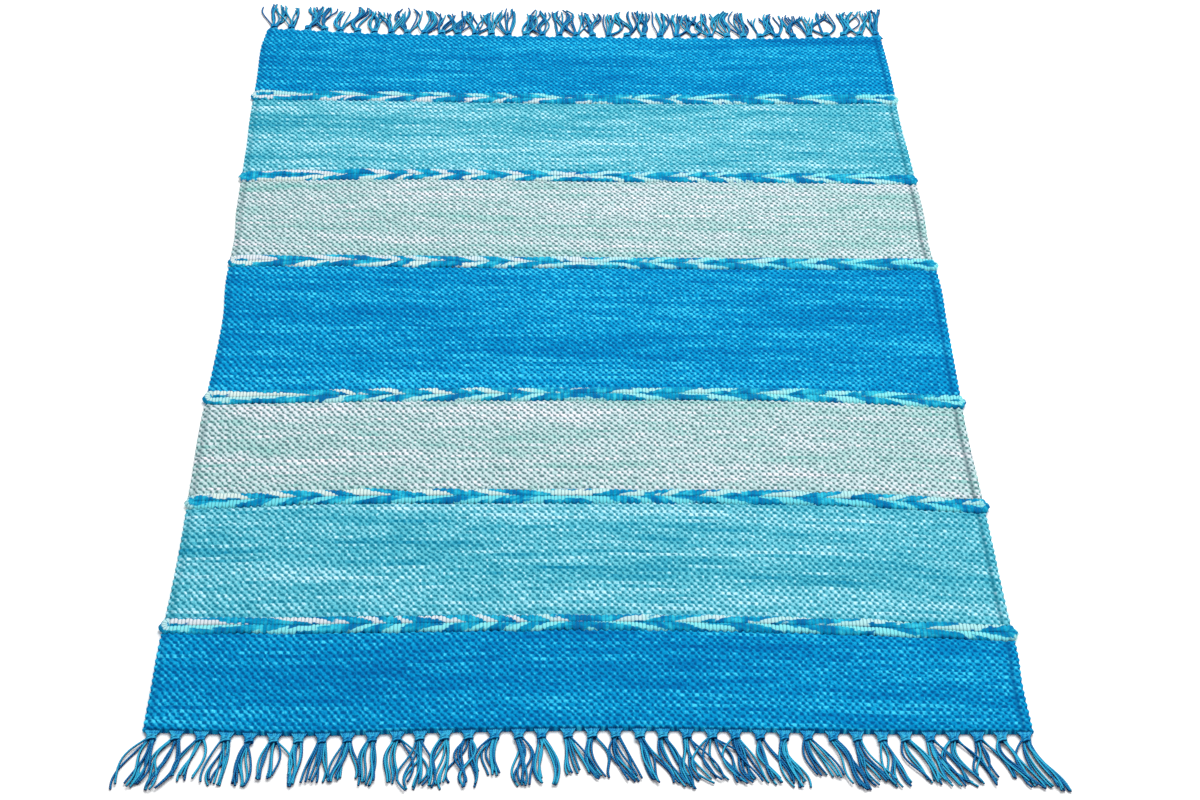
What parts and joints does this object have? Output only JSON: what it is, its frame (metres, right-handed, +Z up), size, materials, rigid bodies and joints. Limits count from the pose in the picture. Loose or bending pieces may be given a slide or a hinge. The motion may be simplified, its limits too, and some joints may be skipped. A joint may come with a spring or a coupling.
{
  "type": "flat-woven cotton dhurrie rug",
  "caption": "Small flat-woven rug lying flat, with plain bands of blue, turquoise and pale mint, raised arrow bands between them and a knotted fringe along each end.",
  "frame": {"origin": "on the floor under the middle of the whole rug, fringes included", "axes": "+X across the width, +Y along the length from the front end to the back end, +Z up from the floor"},
  "size_m": [0.6352, 1.0184, 0.0073],
  "materials": {
    "deep_blue": "matte cotton plain weave, deep blue with lighter streaks",
    "turquoise": "matte cotton plain weave, turquoise with teal and pale streaks",
    "pale_mint": "matte cotton plain weave, greyish white with mint streaks",
    "arrow_yarn": "thick soft two-colour cotton weft, blue twisted with near-white and mint",
    "fringe_yarn": "plied cotton warp yarn, blue and teal"
  },
  "bodies": {
    "root": {"ground": "deep_blue", "fringe_front": "fringe_yarn", "fringe_back": "fringe_yarn"}
  },
  "joints": []
}
